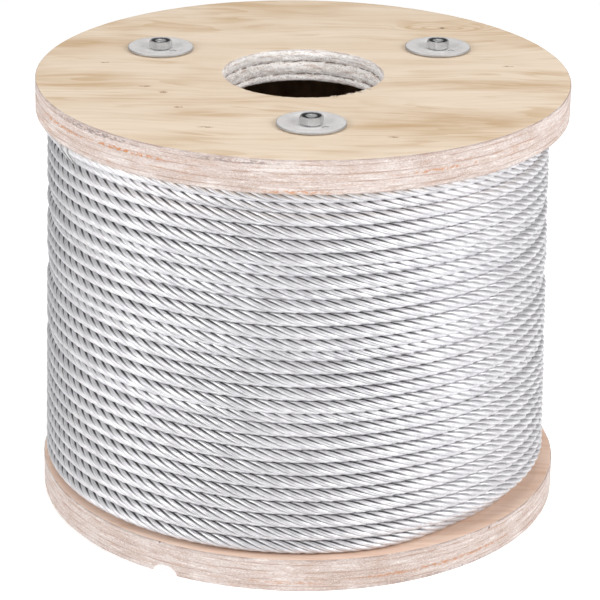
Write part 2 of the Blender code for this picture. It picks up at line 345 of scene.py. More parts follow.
# %% [markdown]
# ## Shared effects
#
# Two effects are found on more than one finish. Specks are small dark spots that sit in patches,
# such as the torn fibres in the cut edges of the wood. Cloudy zinc is the uneven grey bloom on
# galvanised steel, with a fine grain in it. Each could be drawn anew in every material, but as a
# group it is made once, and each material gives it a scale of its own.

# %% Groups for specks and cloudy zinc
specks, given, result = new_group(
    "specks_in_patches",
    [("Vector", VECTOR), ("Size", FLOAT, 1.0), ("Amount", FLOAT, 0.5), ("Patch", FLOAT, 60.0)],
    [("Mask", FLOAT)],
)
fine = noise_at(specks, given["Vector"], maths(specks, "DIVIDE", 1.0, given["Size"]), 3.0, 0.65)
patches = noise_at(specks, given["Vector"], given["Patch"])
threshold = minus(specks, 0.86, times(specks, patches, given["Amount"]))
set_sockets(specks, result, {"Mask": remap(specks, minus(specks, fine, threshold), 0.0, 0.06)})
count_nodes("specks", specks)

zinc_bloom, given, result = new_group(
    "cloudy_zinc",
    [("Vector", VECTOR), ("Pale", COLOUR), ("Dull", COLOUR), ("Grain", FLOAT, 900.0)],
    [("Color", COLOUR), ("Roughness", FLOAT), ("Height", FLOAT)],
)
cloud = noise_at(zinc_bloom, given["Vector"], 130.0, 4.0, 0.6)
grain = noise_at(zinc_bloom, given["Vector"], given["Grain"], 3.0, 0.6)
bloom = plus(zinc_bloom, times(zinc_bloom, cloud, 0.7), times(zinc_bloom, grain, 0.3))
zinc_tone = mix_colours(zinc_bloom, remap(zinc_bloom, bloom, 0.36, 0.64), given["Dull"], given["Pale"])
zinc_roughness = remap(zinc_bloom, bloom, 0.3, 0.7, 0.46, 0.30)
set_sockets(zinc_bloom, result, {"Color": zinc_tone, "Roughness": zinc_roughness, "Height": grain})
count_nodes("cloudy zinc", zinc_bloom)

# %% [markdown]
# ## The rope's path
#
# The outer layer of rope is what shows. It starts at the lower flange, at the front right, where
# the rope climbs out of the layer below it, and goes round the drum 28 times until it meets the
# upper flange on the left. A few turns have sunk between their neighbours, so their rows look
# narrower. The path could be drawn by hand as a curve, but a formula of the angle is exact: the
# height grows with each turn, and the radius follows the taper of the winding and the sunken turns.
# The turns go round clockwise as they rise. The rope is drawn so tight that its strands are pressed
# into those of the next turn, so its section is drawn a little wider than the rope is by itself.

# %% Path of the outer layer
ROPE_DIAMETER = 0.0063
STRAND_RADIUS = 0.225 * ROPE_DIAMETER
STRAND_PLACE = 0.310 * ROPE_DIAMETER
PRESSED_RADIUS = STRAND_RADIUS + STRAND_PLACE
TOP_TAPER = 0.0043
TURN_COUNT = 28
LAYER_START = math.radians(300)
LAYER_END = math.radians(230)
SUNKEN_TURNS = {10: 1.0, 15: 1.0, 16: 0.45, 20: 1.0, 22: 1.0, 27: 1.0}
SUNKEN_DEPTH = 0.0013
SUNKEN_SQUEEZE = 0.0008
LOOSER_LOW = 0.055
LAYER_STEP = ROPE_DIAMETER * math.sqrt(3) / 2
CROSSOVER_FROM = 0.32
CROSSOVER_LENGTH = 0.36
CLIMB_BEFORE_START = math.radians(14)
CLIMB_LENGTH = math.radians(30)
FREE_END_LENGTH = math.radians(75)
HIDDEN_START_LENGTH = math.radians(345)
FRONT = math.radians(270)

coil_low, coil_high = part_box("wire_rope_coil")
coil_centre_x = (coil_low.x + coil_high.x) / 2
coil_radius_low = (coil_high.x - coil_low.x) / 2
rope_radius = ROPE_DIAMETER / 2
first_height = coil_low.z + rope_radius
last_height = coil_high.z - rope_radius


def smooth_step(value):
    value = np.clip(value, 0.0, 1.0)
    return value * value * (3 - 2 * value)


def coil_radius(height):
    """The winding's outer radius, which is a little larger low down."""
    share = (height - coil_low.z) / (coil_high.z - coil_low.z)
    return coil_radius_low - TOP_TAPER * share


# How far each turn has sunk, and its height where it passes the front. The turns are laid a little
# looser low down, a sunken one takes less height, and all steps are scaled to fill the space
sunk = np.array([SUNKEN_TURNS.get(turn, 0.0) for turn in range(TURN_COUNT + 1)])
depth_at_front = SUNKEN_DEPTH * sunk
looseness = 1 + LOOSER_LOW * (1 - (np.arange(TURN_COUNT) + 0.5) / TURN_COUNT)
steps = ROPE_DIAMETER * looseness - SUNKEN_SQUEEZE * (sunk[:-1] + sunk[1:])
front_after_start = LAYER_START - FRONT
end_after_front = FRONT - LAYER_END
turned_in_all = front_after_start + TURN_COUNT * TURN + end_after_front
ends_of_layer = (front_after_start * steps[0] + end_after_front * steps[-1]) / TURN
steps *= (last_height - first_height) / (steps.sum() + ends_of_layer)
height_at_front = first_height + front_after_start * steps[0] / TURN + np.append(0, np.cumsum(steps))


def rope_path(travel):
    """Points on the rope's axis. travel is the angle gone round since the layer's start."""
    turn = (travel - front_after_start) / TURN
    whole = np.clip(np.floor(turn).astype(int), 0, TURN_COUNT - 1)
    share = turn - whole
    height = height_at_front[whole] + share * steps[whole]
    height = np.clip(height, first_height, last_height)
    change = smooth_step((share - CROSSOVER_FROM) / CROSSOVER_LENGTH)
    depth = depth_at_front[whole] + (depth_at_front[whole + 1] - depth_at_front[whole]) * change
    climb = smooth_step((travel + CLIMB_BEFORE_START) / CLIMB_LENGTH)
    depth = depth * (travel > 0) + LAYER_STEP * (1 - climb)
    past_end = np.clip(travel - turned_in_all, 0, None) / TURN
    lifted = ROPE_DIAMETER * np.sqrt(1 - (1 - past_end) ** 2)
    angle = LAYER_START - travel
    radius = coil_radius(height) - PRESSED_RADIUS - depth + lifted
    return np.stack([coil_centre_x + radius * np.cos(angle), radius * np.sin(angle), height], axis=-1)


print("rows at the front, mm:", [round(float(z) * 1000, 1) for z in height_at_front])

# %% [markdown]
# ## Strands
#
# Wire rope is made of strands that are laid round each other, and each strand is made of wires.
# The section is six round lobes with sharp valleys between them, and the lobes are pressed rather
# flat, because the rope is drawn tight over the drum. Sweeping a curve with a bevel
# would keep that section from turning, so the sheet of points is worked out here instead: every
# station on the path holds one section, and each is turned a little further than the one before.
# The columns of points then follow the strands, which keeps ridges and valleys crisp.

# %% Sections of the rope along its path
STRAND_COUNT = 6
POINTS_PER_STRAND = 6
LAY_LENGTH = 6.6 * ROPE_DIAMETER
STATIONS_PER_LAY = 13


def strand_section():
    """Angle and radius of each point of the rope's section."""
    points = STRAND_COUNT * POINTS_PER_STRAND
    angle = np.arange(points) / points * TURN
    within = (angle + math.pi / STRAND_COUNT) % (TURN / STRAND_COUNT) - math.pi / STRAND_COUNT
    radius = STRAND_PLACE * np.cos(within)
    radius += np.sqrt(STRAND_RADIUS**2 - (STRAND_PLACE * np.sin(within)) ** 2)
    return angle, radius


def directions_along(path, forward, middle):
    """Unit vectors along a path, out from a middle, and across the two."""
    forward = forward / np.linalg.norm(forward, axis=1, keepdims=True)
    outward = path - middle
    outward -= forward * (outward * forward).sum(axis=1, keepdims=True)
    outward /= np.linalg.norm(outward, axis=1, keepdims=True)
    return outward, np.cross(forward, outward)


def rope_rows(path):
    """Rows of points round a path, with the strands laid to the right, and the length so far."""
    axis_beside = path * (0, 0, 1) + (coil_centre_x, 0, 0)
    outward, sideways = directions_along(path, np.gradient(path, axis=0), axis_beside)
    length = np.append(0, np.cumsum(np.linalg.norm(np.diff(path, axis=0), axis=1)))
    angle, radius = strand_section()
    turned_angle = angle[None, :] + length[:, None] / LAY_LENGTH * TURN
    reach = radius[None, :, None]
    rows = path[:, None] + reach * np.cos(turned_angle)[..., None] * outward[:, None]
    rows += reach * np.sin(turned_angle)[..., None] * sideways[:, None]
    return rows, length


station_angle = LAY_LENGTH / STATIONS_PER_LAY / (coil_radius_low - PRESSED_RADIUS)
last_travel = turned_in_all + FREE_END_LENGTH
travel = np.arange(-HIDDEN_START_LENGTH, last_travel, station_angle)
whole_rope, whole_length = rope_rows(rope_path(travel))
print(f"rope that shows: {whole_length[-1]:.1f} m, {len(travel)} sections")

# %% [markdown]
# ## Galvanised steel of the rope
#
# The strands are bright and pressed smooth. Dark lines between their wires are painted shade in the
# crevices, and the valleys between the strands get painted shade too, darkest where they run in under the
# next turn, where a near-black painted shadow is laid on. Towards the reel's sides, where the side lamps
# light the valleys, less of this painted shade is laid on. The UV map runs along the rope in one direction
# and round it in the other, and its columns follow the strands, so a wave across it draws valleys and wires.
# Adding the twist back gives the side that faces upward.

# %% Rope material
WIRE_LINES_PER_STRAND = 2
# Colours of the painted shade: in the wires' crevices, in the strands' valleys, and the near-black shadow
# under the next turn
WIRE_CREVICE_SHADE_COLOUR = (0.26, 0.255, 0.265, 1.0)
VALLEY_SHADE_COLOUR = (0.10, 0.095, 0.10, 1.0)
GAP_SHADOW_COLOUR = (0.035, 0.033, 0.034, 1.0)
LEAST_SHADE_KEPT = 0.25

rope_material, tree, shader = new_material("galvanised_rope")
object_place = place_on_object(tree)
sheet = place_on_sheet(tree)
strand_wave = maths(tree, "COSINE", times(tree, sheet["Y"], TURN * STRAND_COUNT))
wires_round = TURN * STRAND_COUNT * WIRE_LINES_PER_STRAND
wire_wave = maths(tree, "COSINE", plus(tree, times(tree, sheet["Y"], wires_round), math.pi))
twisted = plus(tree, sheet["Y"], maths(tree, "DIVIDE", sheet["X"], LAY_LENGTH))
upper_side = maths(tree, "SINE", times(tree, twisted, TURN))

# Less of the painted shade towards the reel's sides, where the side lamps light the valleys
rightwards = separate(tree, object_place)["X"]
shade_kept_left = remap(tree, rightwards, -0.080, -0.045, 0.40, 1.0)
shade_kept_right = remap(tree, rightwards, 0.075, 0.030, LEAST_SHADE_KEPT, 1.0)
shade_kept = maths(tree, "MINIMUM", shade_kept_left, shade_kept_right)

colours = {"Pale": (0.77, 0.76, 0.78, 1.0), "Dull": (0.61, 0.60, 0.62, 1.0)}
bloom = use_group(tree, zinc_bloom, {"Vector": object_place, "Grain": 700.0, **colours})
# Dark lines between the wires are painted shade in their crevices, patchy by noise and strongest on the side
# under the next turn
clearer = remap(tree, noise_at(tree, object_place, 38.0), 0.38, 0.60, 0.35, 0.85)
clearer = times(tree, clearer, remap(tree, upper_side, -0.7, 0.4, 0.35, 1.0))
wire_crevice_shade = times(tree, remap(tree, wire_wave, -0.45, -1.0), times(tree, clearer, shade_kept))
tone = mix_colours(tree, wire_crevice_shade, bloom["Color"], WIRE_CREVICE_SHADE_COLOUR)

# Painted shade in the valleys between the strands, darkest on the side that runs in under the next turn
valley = remap(tree, strand_wave, -0.70, -1.0)
valley_shade = times(tree, valley, remap(tree, upper_side, -0.45, 0.60, 0.16, 0.72))
tone = mix_colours(tree, times(tree, valley_shade, shade_kept), tone, VALLEY_SHADE_COLOUR)

# Near-black painted shadow in the valleys where they run in under the next turn, a little weaker on the
# right
gap_shadow = times(tree, remap(tree, strand_wave, -0.20, -0.90), remap(tree, upper_side, 0.30, 0.92))
gap_shadow = times(tree, gap_shadow, remap(tree, shade_kept_right, LEAST_SHADE_KEPT, 1.0, 0.5, 0.9))
tone = mix_colours(tree, gap_shadow, tone, GAP_SHADOW_COLOUR)
rope_look = {
    "Base Color": tone,
    "Roughness": plus(tree, bloom["Roughness"], 0.10),
    "Metallic": 0.65,
    "Normal": bumped(tree, wire_wave, 0.3, 0.0001),
}
set_sockets(tree, shader, rope_look)
count_nodes("rope", tree)

# %% [markdown]
# ## The outer layer in three pieces
#
# More than twenty metres of rope make a heavy mesh. It could be one object, but three
# smaller ones load and export more easily. Neighbours share the section where they meet, so the
# cut can't be seen. Edges sharper than 45 degrees stay sharp, which keeps the valleys crisp.

# %% Rope pieces
piece_ends = [0.0, 0.34, 0.67, 1.0]
piece_names = ["rope_turns_low", "rope_turns_middle", "rope_turns_high"]
for name, low, high in zip(piece_names, piece_ends, piece_ends[1:]):
    first = int(low * (len(travel) - 1))
    last = int(high * (len(travel) - 1)) + 1
    mesh = mesh_from_rows(name, whole_rope[first:last], cap_ends=True, uv_rows=whole_length[first:last])
    mesh.set_sharp_from_angle(angle=math.radians(45))
    add_piece(name, mesh, rope_material, "wire_rope_coil")

# %% [markdown]
# ## The layers underneath
#
# Below the outer layer the rope goes on, layer on layer, down to the drum. Almost nothing of it is
# seen, so it isn't wound strand by strand. One turned body with a round ridge for each turn fills
# the space, one layer further in, and shows only as dark metal between the turns above.

# %% Inner layers
INNER_LAYER_SIDES = 96
POINTS_PER_RIDGE = 6
DRUM_CLEARANCE = 0.0003
ridge_share = np.linspace(0, 1, TURN_COUNT * POINTS_PER_RIDGE + 1)
ridge_height = coil_low.z + (coil_high.z - coil_low.z) * ridge_share
ridge_wave = np.abs(np.sin(ridge_share * TURN_COUNT * math.pi))
layer_radius = coil_radius(ridge_height) - LAYER_STEP - rope_radius * (1.25 - ridge_wave)
layer_inner_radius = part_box("drum")[1].y + DRUM_CLEARANCE
layer_profile = [(layer_inner_radius, coil_low.z)]
layer_profile += list(zip(layer_radius, ridge_height))
layer_profile += [(layer_inner_radius, coil_high.z)]
layer_rows = turned(layer_profile, INNER_LAYER_SIDES, (coil_centre_x, 0.0))
layer_mesh = mesh_from_rows("rope_layers_below", layer_rows, close_rows=True)
add_piece("rope_layers_below", layer_mesh, rope_material, "wire_rope_coil")

# %% [markdown]
# ## Plywood
#
# Each flange is a disc sawn from plywood. Its faces are one thin veneer with soft, drawn-out grain
# along X, and here and there a knot that the grain lines flow around. A wave texture could draw
# lines, but they would be too even. So the grain is noise in a space that is squeezed along X,
# which draws every patch out, and the year rings are the level lines of a broad noise.

# %% Group for the grain of a veneer
veneer, given, result = new_group(
    "veneer_grain",
    [("Vector", VECTOR), ("Pale", COLOUR), ("Dark", COLOUR)],
    [("Color", COLOUR), ("Height", FLOAT)],
)
bend = noise_at(veneer, stretched(veneer, given["Vector"], (9.0, 17.0, 17.0)), 1.0)
bend_vector = place(veneer, "ShaderNodeCombineXYZ", {"Y": times(veneer, bend, 0.038)}).outputs[0]
bent = vector_maths(veneer, "ADD", given["Vector"], bend_vector)["Vector"]
broad = noise_at(veneer, stretched(veneer, bent, (6.5, 50.0, 50.0)), 1.0, 2.5, 0.5)
cloud = noise_at(veneer, stretched(veneer, given["Vector"], (13.0, 30.0, 30.0)), 1.0, 3.0, 0.55)
lines = noise_at(veneer, stretched(veneer, bent, (16.0, 420.0, 420.0)), 1.0, 4.0, 0.6)
pores = noise_at(veneer, stretched(veneer, bent, (130.0, 2400.0, 2400.0)), 1.0, 2.0, 0.6)
year = maths(veneer, "FRACT", times(veneer, broad, 8.0))
late_wood = times(veneer, remap(veneer, year, 0.25, 0.90), remap(veneer, year, 1.0, 0.94))
late_wood = times(veneer, late_wood, remap(veneer, cloud, 0.40, 0.60, 0.15, 1.0))
figure = times(veneer, late_wood, 0.36)
# Each pattern, the range of it that counts, and its share in the figure of the wood
parts = [
    (broad, 0.40, 0.66, 0.20),
    (cloud, 0.46, 0.66, 0.26),
    (lines, 0.38, 0.72, 0.18),
    (pores, 0.45, 0.75, 0.10),
]
for pattern, low, high, share in parts:
    figure = plus(veneer, figure, times(veneer, remap(veneer, pattern, low, high), share))
veneer_tone = mix_colours(veneer, figure, given["Pale"], given["Dark"])
set_sockets(veneer, result, {"Color": veneer_tone, "Height": plus(veneer, lines, pores)})
count_nodes("veneer", veneer)

# %% [markdown]
# ## Marks in the wood
#
# Some marks have their own place on the reel: a small knot at the back right with rings round it,
# short brown flecks on the left, stained streaks along a glue line. They could be painted on an
# image, but a spot mask does without one: it is one at its centre and fades out over an ellipsoid.
# The group is used many times over, with a centre and a reach of its own each time.

# %% Group for a mark at one place
spot, given, result = new_group(
    "spot_at_place",
    [("Vector", VECTOR), ("Centre", VECTOR), ("Reach", VECTOR)],
    [("Mask", FLOAT), ("Distance", FLOAT)],
)
from_centre = vector_maths(spot, "SUBTRACT", given["Vector"], given["Centre"])["Vector"]
in_reaches = vector_maths(spot, "DIVIDE", from_centre, given["Reach"])["Vector"]
distance = vector_maths(spot, "LENGTH", in_reaches)["Value"]
set_sockets(spot, result, {"Mask": remap(spot, distance, 1.0, 0.45), "Distance": distance})
count_nodes("spot", spot)


def mark(tree, object_place, centre, reach):
    return use_group(tree, spot, {"Vector": object_place, "Centre": centre, "Reach": reach})


# %% [markdown]
# ## Face of the plywood
#
# The face is the pale veneer with its marks laid over it: broad brown shades where the veneer was
# stained, the knot with its rings, and the flecks. Near the knot the space is pushed aside before
# the grain is read, so that the lines flow round it. The lower flange's veneer is pinker than the
# upper one's, so the two tones are mixed by height.

# %% Face of the plywood
MARK_HEIGHT = 0.21
MARK_DEPTH = 0.05
KNOT = (0.0695, 0.0788)
KNOT_RINGS = (0.030, 0.0105)
KNOT_DOT = (0.0016, 0.0012)
KNOT_PUSH = 0.012
RING_WAVES = 24.0
# Each fleck's x, y, length and width
FLECKS = [
    (-0.0737, -0.0245, 0.0040, 0.0012),
    (-0.0648, -0.0332, 0.0026, 0.0022),
    (-0.0568, -0.0553, 0.0030, 0.0014),
    (-0.0434, -0.0835, 0.0050, 0.0010),
    (0.0402, -0.0936, 0.0034, 0.0012),
    (-0.0950, 0.0120, 0.0030, 0.0010),
    (0.0980, 0.0150, 0.0040, 0.0010),
]
# Each shade's x, y, length, width and strength
SHADES = [
    (0.0700, -0.0700, 0.055, 0.020, 0.55),
    (0.0900, -0.0150, 0.060, 0.010, 0.50),
    (-0.0950, 0.0450, 0.045, 0.014, 0.35),
    (0.0550, 0.0200, 0.040, 0.006, 0.40),
    (-0.0500, -0.0650, 0.030, 0.010, 0.25),
]
FLECK_COLOUR = (0.34, 0.18, 0.085, 1.0)
SHADE_COLOUR = (0.52, 0.34, 0.18, 1.0)
DOT_COLOUR = (0.10, 0.05, 0.03, 1.0)


def mark_on_face(x, y, length, width):
    return mark(tree, object_place, (x, y, MARK_HEIGHT), (length, width, MARK_DEPTH))


face_material, tree, shader = new_material("plywood_face")
object_place = place_on_object(tree)
knot = mark_on_face(*KNOT, *KNOT_RINGS)
push = place(tree, "ShaderNodeCombineXYZ", {"Y": times(tree, knot["Mask"], KNOT_PUSH)}).outputs[0]
grain_place = vector_maths(tree, "ADD", object_place, push)["Vector"]
upper = remap(tree, separate(tree, object_place)["Z"], 0.09, 0.11)
pale = mix_colours(tree, upper, (0.86, 0.665, 0.55, 1.0), (0.815, 0.685, 0.55, 1.0))
dark = mix_colours(tree, upper, (0.70, 0.47, 0.35, 1.0), (0.57, 0.395, 0.225, 1.0))
grain = use_group(tree, veneer, {"Vector": grain_place, "Pale": pale, "Dark": dark})
wood = grain["Color"]
rough_edge = noise_at(tree, stretched(tree, object_place, (60.0, 220.0, 60.0)), 1.0, 3.0, 0.6)
for *shape, strength in SHADES:
    shade = mark_on_face(*shape)
    soft = remap(tree, minus(tree, 1.15, shade["Distance"]), 0.0, 0.9)
    amount = times(tree, soft, remap(tree, rough_edge, 0.30, 0.70, 0.2, strength))
    wood = mix_colours(tree, amount, wood, SHADE_COLOUR)
rings = maths(tree, "SINE", times(tree, knot["Distance"], RING_WAVES))
rings = times(tree, remap(tree, rings, 0.2, 1.0), knot["Mask"])
wood = mix_colours(tree, times(tree, rings, 0.50), wood, SHADE_COLOUR)
fleck_edge = noise_at(tree, object_place, 900.0)
for shape in FLECKS:
    amount = times(tree, mark_on_face(*shape)["Mask"], remap(tree, fleck_edge, 0.40, 0.56, 0.15, 0.95))
    wood = mix_colours(tree, amount, wood, FLECK_COLOUR)
wood = mix_colours(tree, mark_on_face(*KNOT, *KNOT_DOT)["Mask"], wood, DOT_COLOUR)
face_look = {
    "Base Color": wood,
    "Roughness": 0.7,
    "Specular IOR Level": 0.2,
    "Normal": bumped(tree, grain["Height"], 0.25, 0.0002),
}
set_sockets(tree, shader, face_look)
count_nodes("face", tree)

# %% [markdown]
# ## Plies of a cut edge
#
# The saw has left the edges paler and pinker than the faces. They show long thin streaks of the
# plies' fibres, fine pits of end grain, and broken dark lines where the glue is. All of that is
# noise that is squeezed flat by different amounts. The UV map gives the height above the flange's
# lower side, which places the glue lines. Rim and bore share it, so it is a function.

# %% Plies
PLY_HEIGHTS = (0.0024, 0.0059, 0.0096, 0.0136)
GLUE_LINE_WIDTH = 0.0005
GLUE_COLOUR = (0.38, 0.26, 0.21, 1.0)
TORN_COLOUR = (0.36, 0.25, 0.20, 1.0)
EDGE_BAND_COLOUR = (0.30, 0.22, 0.20, 1.0)
flange_low, flange_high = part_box("top_flange")
flange_thickness = flange_high.z - flange_low.z


def add_plies(tree, object_place, glue_lines, pale, dark):
    """Height, colour and relief of a cut edge, with its streaks, glue lines and pits."""
    height = place_on_sheet(tree)["X"]
    streaks = noise_at(tree, stretched(tree, object_place, (90.0, 90.0, 1000.0)), 1.0, 4.0, 0.62)
    soft = noise_at(tree, stretched(tree, object_place, (45.0, 45.0, 220.0)), 1.0, 3.0, 0.6)
    pits = noise_at(tree, stretched(tree, object_place, (800.0, 800.0, 2200.0)), 1.0, 2.0, 0.6)
    wavy_height = plus(tree, height, times(tree, minus(tree, soft, 0.5), 0.0016))
    tone = mix_colours(tree, remap(tree, soft, 0.38, 0.62), pale, dark)
    layers = [
        (streaks, 0.51, 0.66, 0.62, (0.53, 0.355, 0.28, 1.0)),
        (streaks, 0.46, 0.30, 0.60, (0.86, 0.80, 0.765, 1.0)),
        (pits, 0.54, 0.68, 0.50, (0.40, 0.28, 0.23, 1.0)),
        (pits, 0.44, 0.32, 0.40, (0.88, 0.84, 0.81, 1.0)),
    ]
    for pattern, low, high, strength, colour in layers:
        tone = mix_colours(tree, remap(tree, pattern, low, high, 0.0, strength), tone, colour)
    broken = remap(tree, streaks, 0.40, 0.58, 0.15, 0.78)
    for line in glue_lines:
        off_line = distance_from(tree, wavy_height, line)
        near = remap(tree, off_line, GLUE_LINE_WIDTH, 0.1 * GLUE_LINE_WIDTH)
        tone = mix_colours(tree, times(tree, near, broken), tone, GLUE_COLOUR)
    sockets = {"Vector": stretched(tree, object_place, (1.0, 1.0, 2.4))}
    torn = use_group(tree, specks, {**sockets, "Size": 0.00075, "Amount": 0.56, "Patch": 45.0})
    tone = mix_colours(tree, times(tree, torn["Mask"], 0.60), tone, TORN_COLOUR)
    # The cut edge is darker in a thin band along its lower and upper edges
    lower_edge = remap(tree, height, 0.0009, 0.0002)
    upper_edge = remap(tree, height, flange_thickness - 0.0010, flange_thickness - 0.0003)
    edge_band = maths(tree, "MAXIMUM", lower_edge, upper_edge)
    edge_band = times(tree, edge_band, remap(tree, streaks, 0.36, 0.60, 0.10, 0.62))
    tone = mix_colours(tree, edge_band, tone, EDGE_BAND_COLOUR)
    return height, tone, minus(tree, streaks, times(tree, pits, 0.6))


print(f"{len(PLY_HEIGHTS)} glue lines in {flange_thickness * 1000:.1f} mm of plywood")

# %% [markdown]
# ## Stains, notches and a chip in the rims
#
# Rust has run into the rims in broken streaks, hands and floors have left grey ones, and the lower
# rim has lost a chip at the front left. Each has a place of its own, an angle round the reel and a
# height. Fine noise breaks the streaks up. Random stains would be less work, but these lie
# where the real reel has them.

# %% Rim of the flanges
RIM_RADIUS = 0.127
RUST = (0.52, 0.24, 0.11, 1.0)
SOOT = (0.28, 0.23, 0.22, 1.0)
# Each stain's angle, height, length, width, colour and strength
STAINS = [
    (-60, 0.2015, 0.026, 0.0009, RUST, 0.80),
    (-90, 0.1952, 0.022, 0.0010, RUST, 0.80),
    (-40, 0.2030, 0.020, 0.0007, RUST, 0.35),
    (-115, 0.2000, 0.030, 0.0008, RUST, 0.30),
    (-140, 0.2080, 0.045, 0.0015, SOOT, 1.00),
    (-104, 0.2082, 0.028, 0.0012, SOOT, 0.80),
    (-150, 0.2030, 0.030, 0.0009, RUST, 0.85),
    (-128, 0.2040, 0.030, 0.0012, RUST, 1.00),
    (-160, 0.1975, 0.024, 0.0007, RUST, 0.60),
    (-58, 0.0058, 0.056, 0.0012, RUST, 0.75),
    (-92, 0.0045, 0.024, 0.0009, RUST, 0.45),
    (-60, 0.0010, 0.060, 0.0008, SOOT, 0.60),
    (-125, 0.0150, 0.040, 0.0008, SOOT, 0.30),
    (60, 0.2060, 0.040, 0.0010, SOOT, 0.55),
    (120, 0.0060, 0.050, 0.0009, RUST, 0.50),
    (160, 0.1990, 0.040, 0.0008, RUST, 0.45),
]
# Each notch's angle, height and size
NOTCHES = [(-120.1, 0.0157, 0.0008), (-44.4, 0.0150, 0.0009), (-6.0, 0.0114, 0.0012), (-6.0, 0.0047, 0.0010)]
NOTCH_COLOUR = (0.12, 0.06, 0.04, 1.0)
CHIP_DEGREES = -118.8
CHIP_LENGTH = 0.0062
CHIP_HEIGHT = 0.0042
CHIP_PALE_MARGIN = 1.1
CHIP_COLOUR = (0.88, 0.87, 0.88, 1.0)


def mark_on_rim(degrees, height, reach):
    angle = math.radians(degrees)
    centre = (RIM_RADIUS * math.cos(angle), RIM_RADIUS * math.sin(angle), height)
    return mark(tree, object_place, centre, reach)


edge_material, tree, shader = new_material("plywood_edge")
object_place = place_on_object(tree)
rim_tones = (0.625, 0.555, 0.525, 1.0), (0.545, 0.455, 0.415, 1.0)
height, tone, relief = add_plies(tree, object_place, PLY_HEIGHTS, *rim_tones)
fibres = noise_at(tree, stretched(tree, object_place, (420.0, 420.0, 900.0)), 1.0, 3.0, 0.65)
for degrees, z, length, width, colour, strength in STAINS:
    stain = mark_on_rim(degrees, z, (length, length, width))
    soft = remap(tree, stain["Distance"], 1.0, 0.55)
    tone = mix_colours(tree, times(tree, soft, remap(tree, fibres, 0.44, 0.58, 0.0, strength)), tone, colour)
for degrees, z, size in NOTCHES:
    notch = mark_on_rim(degrees, z, (size, size, size))
    tone = mix_colours(tree, times(tree, notch["Mask"], 0.75), tone, NOTCH_COLOUR)
chip_reach = [size * CHIP_PALE_MARGIN for size in (CHIP_LENGTH, CHIP_LENGTH, CHIP_HEIGHT)]
chip = mark_on_rim(CHIP_DEGREES, 0.0, chip_reach)
tone = mix_colours(tree, times(tree, remap(tree, chip["Distance"], 1.0, 0.9), 0.75), tone, CHIP_COLOUR)
edge_look = {
    "Base Color": tone,
    "Roughness": 0.8,
    "Specular IOR Level": 0.2,
    "Normal": bumped(tree, relief, 0.45, 0.0004),
}
set_sockets(tree, shader, edge_look)
count_nodes("rim", tree)

# %% [markdown]
# ## Spindle bore
#
# The bore was cut with a hole saw. Its plies have swollen into three grey-white rolls, with dark
# cracks between them. Their tones are much paler than the rim's, which is partly the pale wood and partly
# painted light, making up for the little light that reaches into the deep bore. Cracks could be cut into
# the mesh, but they are finer than its points. So the rolls are in the mesh, and the cracks are broken
# lines of colour and bump.

# %% Bore of the flanges
ROLL_JOINTS = (0.0035, 0.0101)
JOINT_WIDTH = 0.0006
JOINT_WANDER = 0.0030
CRACK_COLOUR = (0.13, 0.09, 0.075, 1.0)
SCRAPED_COLOUR = (0.30, 0.26, 0.24, 1.0)

bore_material, tree, shader = new_material("plywood_bore")
object_place = place_on_object(tree)
# Pale wood with painted light: the tones are raised so that the dim, deep bore looks bright
bore_tones_with_painted_light = (0.96, 0.94, 0.92, 1.0), (0.90, 0.865, 0.835, 1.0)
height, tone, relief = add_plies(tree, object_place, (), *bore_tones_with_painted_light)
wander = minus(tree, noise_at(tree, object_place, 55.0, 3.0, 0.6), 0.5)
crack_height = plus(tree, height, times(tree, wander, JOINT_WANDER))
rough = noise_at(tree, stretched(tree, object_place, (240.0, 240.0, 700.0)), 1.0, 4.0, 0.7)
broken = remap(tree, rough, 0.41, 0.54)
cracks = 0.0
for joint in ROLL_JOINTS:
    near = remap(tree, distance_from(tree, crack_height, joint), JOINT_WIDTH, 0.2 * JOINT_WIDTH)
    cracks = maths(tree, "MAXIMUM", cracks, times(tree, near, broken))
tone = mix_colours(tree, times(tree, remap(tree, rough, 0.58, 0.70), 0.42), tone, SCRAPED_COLOUR)
tone = mix_colours(tree, times(tree, cracks, 0.9), tone, CRACK_COLOUR)
relief = minus(tree, plus(tree, relief, rough), times(tree, cracks, 0.8))
bump = bumped(tree, relief, 0.35, 0.0005)
set_sockets(tree, shader, {"Base Color": tone, "Roughness": 0.85, "Normal": bump})
count_nodes("bore", tree)

# %% [markdown]
# ## Unevenness of the cut edges
#
# No cut edge is a clean cylinder. The rim has a shallow groove at each glue line and a chip, the
# bore has its rolls and, at its mouth, splinters that the saw has left. A displacement modifier
# would move every point by one texture, and here each place has its own rule, so the pushes are
# worked out on the array of points.

# %% Pushes on the rim and in the bore
EDGE_ROUNDING = 0.0007
PLY_GROOVE = 0.00014
PLY_GROOVE_WIDTH = 0.0004
CHIP_DEPTH = 0.0007
CHIP_SLOPE = 0.35
BORE_ROLL = 0.0013
ROLL_MIDDLE = 0.6
ROLL_FULLNESS = 0.55
ROLL_WANDER = 0.0007
ROLL_WANDER_SCALE = 40.0
ROUGHNESS_SCALE = 220.0
RIM_ROUGHNESS = 0.00012
BORE_ROUGHNESS = 0.00045
BORE_FINER = 1.6
SPLINTER_FROM = math.radians(-72)
SPLINTER_TO = math.radians(-36)
SPLINTER_LENGTH = 0.0030
SPLINTER_DEPTH = 0.0012
SPLINTER_SCALE = 1500.0


def noise_values(rows, scale):
    """Smooth noise between -1 and 1 at each point."""
    return np.array([[noise.noise(Vector(point) * scale) for point in row] for row in rows])


